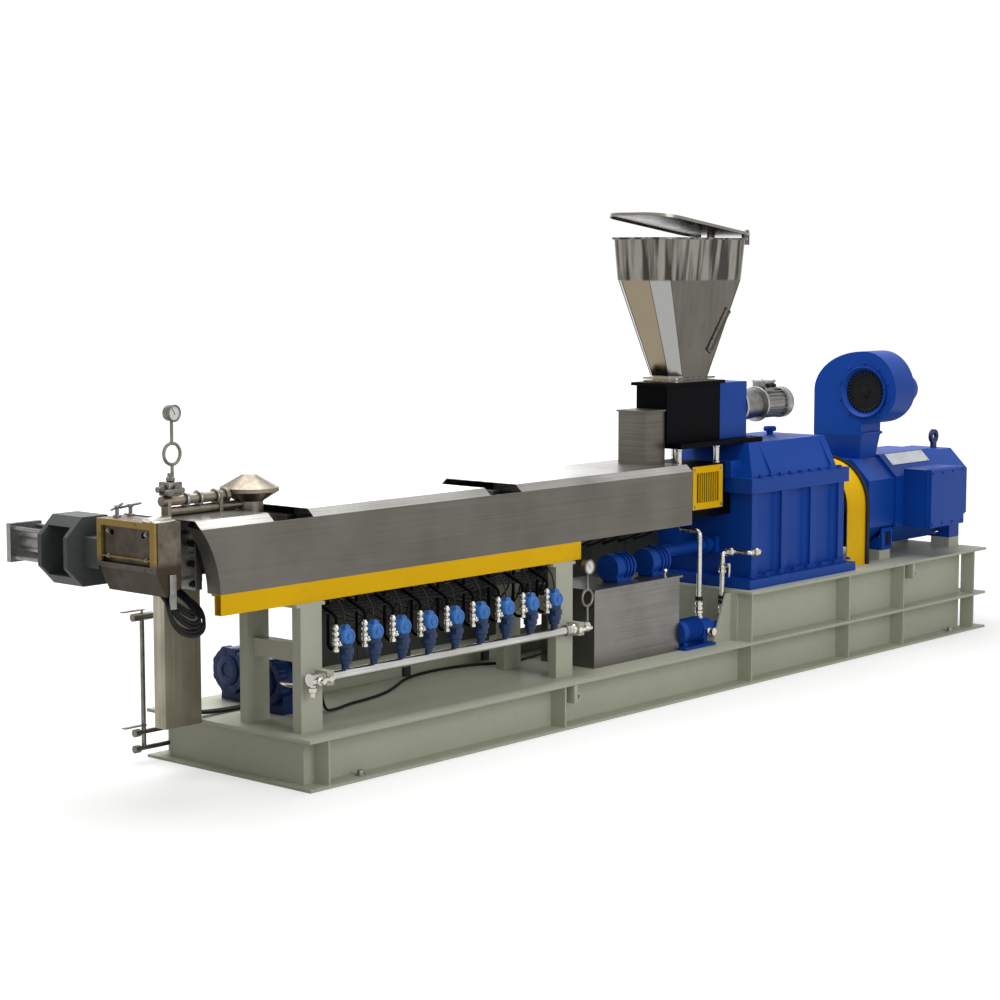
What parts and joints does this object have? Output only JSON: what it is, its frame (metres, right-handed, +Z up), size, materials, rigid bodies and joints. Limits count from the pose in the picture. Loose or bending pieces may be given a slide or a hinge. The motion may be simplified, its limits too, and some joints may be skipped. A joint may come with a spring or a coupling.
{
  "type": "twin-screw plastic extruder",
  "caption": "Twin-screw plastic compounding extruder on a two-level welded base with covered barrel, gearbox, main motor with blower, and a feeder under a tapered hopper.",
  "frame": {"origin": "on the floor under the middle of the base, on the base's centre line", "axes": "+X towards the motor end, -Y the working side with the valves, +Z up"},
  "size_m": [6.167, 1.183, 2.373],
  "materials": {
    "base_paint": "satin grey-green enamel",
    "black_paint": "satin black enamel",
    "blue_paint": "gloss blue machine enamel",
    "brushed_stainless": "brushed stainless sheet",
    "grey_casting": "grey-green primed casting",
    "head_bronze": "worn ochre heat-resistant coating",
    "machined_steel": "machined steel",
    "polished_stainless": "polished stainless",
    "valve_blue": "moulded blue coils on plated bodies",
    "yellow_paint": "gloss safety-yellow enamel"
  },
  "bodies": {
    "machine": {"barrel": "machined_steel", "barrel_supports": "base_paint", "blower_motor": "blue_paint", "blower_neck": "blue_paint", "blower_scroll": "blue_paint", "cable_duct": "brushed_stainless", "circulation_pumps": "blue_paint", "cooling_pipes": "black_paint", "coupling_guard": "yellow_paint", "cover_rails": "yellow_paint", "cross_members": "base_paint", "die_adapter": "machined_steel", "feed_chute": "brushed_stainless", "feeder_bracket": "blue_paint", "feeder_motor": "machined_steel", "feeder_platform": "black_paint", "feeder_trough": "black_paint", "gauges": "polished_stainless", "gearbox_housing": "blue_paint", "gearbox_lid": "blue_paint", "hopper_shell": "polished_stainless", "lantern_guards": "yellow_paint", "lantern_housing": "machined_steel", "lifting_eye": "blue_paint", "low_deck": "base_paint", "motor_body": "blue_paint", "motor_feet": "blue_paint", "motor_pads": "base_paint", "oil_cooler": "blue_paint", "oil_pipes": "polished_stainless", "oil_pump": "blue_paint", "raised_deck": "base_paint", "raised_webs": "base_paint", "riser_plates": "base_paint", "screen_changer": "head_bronze", "shaft_coupling": "machined_steel", "side_beams": "base_paint", "side_covers": "brushed_stainless", "slide_ram": "machined_steel", "slide_yoke": "grey_casting", "solenoid_valves": "valve_blue", "standpipe": "polished_stainless", "tank": "brushed_stainless", "tank_lid": "brushed_stainless", "tank_pumps": "blue_paint", "terminal_box": "blue_paint", "top_covers": "brushed_stainless", "vacuum_pipe": "polished_stainless", "vent_hood": "polished_stainless", "water_manifold": "polished_stainless"},
    "hopper_lid": {"hopper_lid": "polished_stainless"}
  },
  "joints": [
    {"name": "hopper_lid_hinge", "type": "hinge", "parent": "machine", "child": "hopper_lid", "pos_m": [0.6795, -0.11, 2.278], "axis": [0, 1, 0], "range_deg": [-6, 80]}
  ]
}
